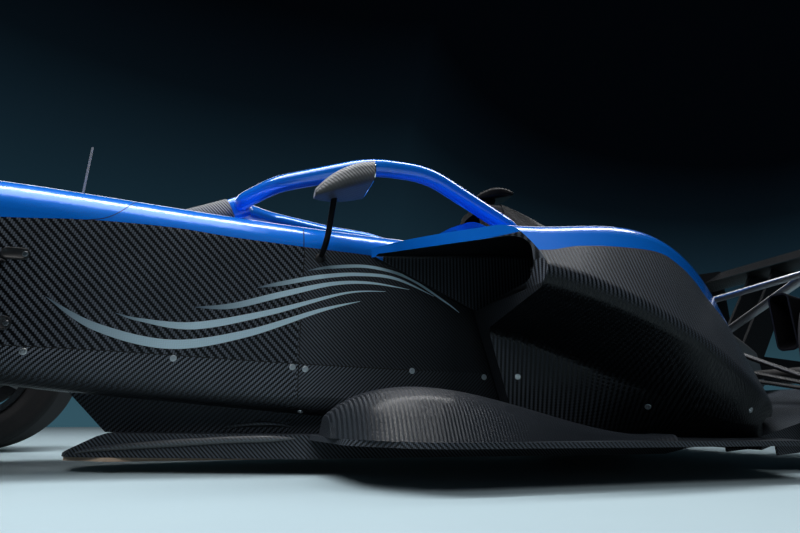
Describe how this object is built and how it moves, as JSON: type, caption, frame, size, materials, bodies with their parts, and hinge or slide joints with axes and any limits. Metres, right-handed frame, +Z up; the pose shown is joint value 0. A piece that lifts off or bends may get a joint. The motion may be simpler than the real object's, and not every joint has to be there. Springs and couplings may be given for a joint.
{
  "type": "open wheel racing car",
  "caption": "Single seat open wheel racing car with a halo, swept sidepod inlets, front and rear wings, a flat floor with a wooden plank and steered front wheels.",
  "frame": {"origin": "on the ground under the middle of the car's length and width", "axes": "+X to the car's front, +Y to its left, +Z up"},
  "size_m": [4.68, 1.7988, 0.9944],
  "materials": {
    "blue_paint": "gloss",
    "carbon": "satin twill",
    "tyre_rubber": "matte",
    "wheel_alloy": "satin dark",
    "bare_alloy": "satin",
    "steel": "satin",
    "plank_wood": "matte",
    "black_plastic": "matte",
    "mirror_glass": "polished",
    "red_lamp": "gloss"
  },
  "bodies": {
    "car": {"monocoque": "carbon", "rack_housing": "bare_alloy", "nose_cone": "blue_paint", "front_wing_mainplane": "carbon", "front_wing_flaps": "blue_paint", "front_wing_endplates": "carbon", "floor": "carbon", "floor_fairings": "carbon", "skid_plank": "plank_wood", "diffuser": "carbon", "sidepod_left": "carbon", "sidepod_right": "carbon", "radiators": "bare_alloy", "engine_cover": "carbon", "roll_hoop": "carbon", "camera_pod": "black_plastic", "halo": "blue_paint", "headrest": "blue_paint", "seat": "carbon", "mirror_housings": "carbon", "mirror_glasses": "mirror_glass", "mirror_stalks": "black_plastic", "aerial": "black_plastic", "engine": "bare_alloy", "gearbox": "bare_alloy", "tail_structure": "carbon", "rain_light": "red_lamp", "rear_wing_mainplane": "carbon", "rear_wing_flap": "carbon", "rear_wing_endplates": "carbon", "rear_wing_pylons": "carbon", "front_upper_wishbones": "carbon", "front_lower_wishbones": "carbon", "front_pushrods": "steel", "rear_upper_wishbones": "bare_alloy", "rear_lower_wishbones": "carbon", "rear_pushrods": "steel", "rear_uprights": "bare_alloy", "rear_brake_ducts": "black_plastic"},
    "steered_left": {"upright_front_left": "bare_alloy"},
    "steered_right": {"upright_front_right": "bare_alloy"},
    "steering_wheel": {"steering_wheel": "black_plastic"},
    "steering_rack": {"steering_rack": "steel"},
    "wheel_front_left": {"tyre_front_left": "tyre_rubber", "rim_front_left": "wheel_alloy"},
    "wheel_front_right": {"tyre_front_right": "tyre_rubber", "rim_front_right": "wheel_alloy"},
    "wheel_rear_left": {"tyre_rear_left": "tyre_rubber", "rim_rear_left": "wheel_alloy"},
    "wheel_rear_right": {"tyre_rear_right": "tyre_rubber", "rim_rear_right": "wheel_alloy"}
  },
  "joints": [
    {"name": "steer_left", "type": "hinge", "parent": "car", "child": "steered_left", "pos_m": [1.21, 0.7, 0.285], "axis": [0, 0, 1], "range_deg": [-18, 18]},
    {"name": "wheel_spin_front_left", "type": "hinge", "parent": "steered_left", "child": "wheel_front_left", "pos_m": [1.21, 0.77, 0.285], "axis": [0, 1, 0], "continuous": true},
    {"name": "wheel_spin_rear_left", "type": "hinge", "parent": "car", "child": "wheel_rear_left", "pos_m": [-1.47, 0.75, 0.295], "axis": [0, 1, 0], "continuous": true},
    {"name": "steer_right", "type": "hinge", "parent": "car", "child": "steered_right", "pos_m": [1.21, -0.7, 0.285], "axis": [0, 0, 1], "range_deg": [-18, 18]},
    {"name": "wheel_spin_front_right", "type": "hinge", "parent": "steered_right", "child": "wheel_front_right", "pos_m": [1.21, -0.77, 0.285], "axis": [0, 1, 0], "continuous": true},
    {"name": "wheel_spin_rear_right", "type": "hinge", "parent": "car", "child": "wheel_rear_right", "pos_m": [-1.47, -0.75, 0.295], "axis": [0, 1, 0], "continuous": true},
    {"name": "rack_slide", "type": "slide", "parent": "car", "child": "steering_rack", "axis": [0, 1, 0], "range_m": [-0.031, 0.031]},
    {"name": "steering_wheel_turn", "type": "hinge", "parent": "car", "child": "steering_wheel", "pos_m": [0.15, 0, 0.548], "axis": [-0.9703, 0, 0.2419], "range_deg": [-181, 181]}
  ],
  "couplings": [
    {"joint": "steer_right", "follows": "steer_left", "ratio": 1},
    {"joint": "rack_slide", "follows": "steer_left", "m_per_rad": 0.0984},
    {"joint": "steering_wheel_turn", "follows": "steer_left", "ratio": 10}
  ]
}
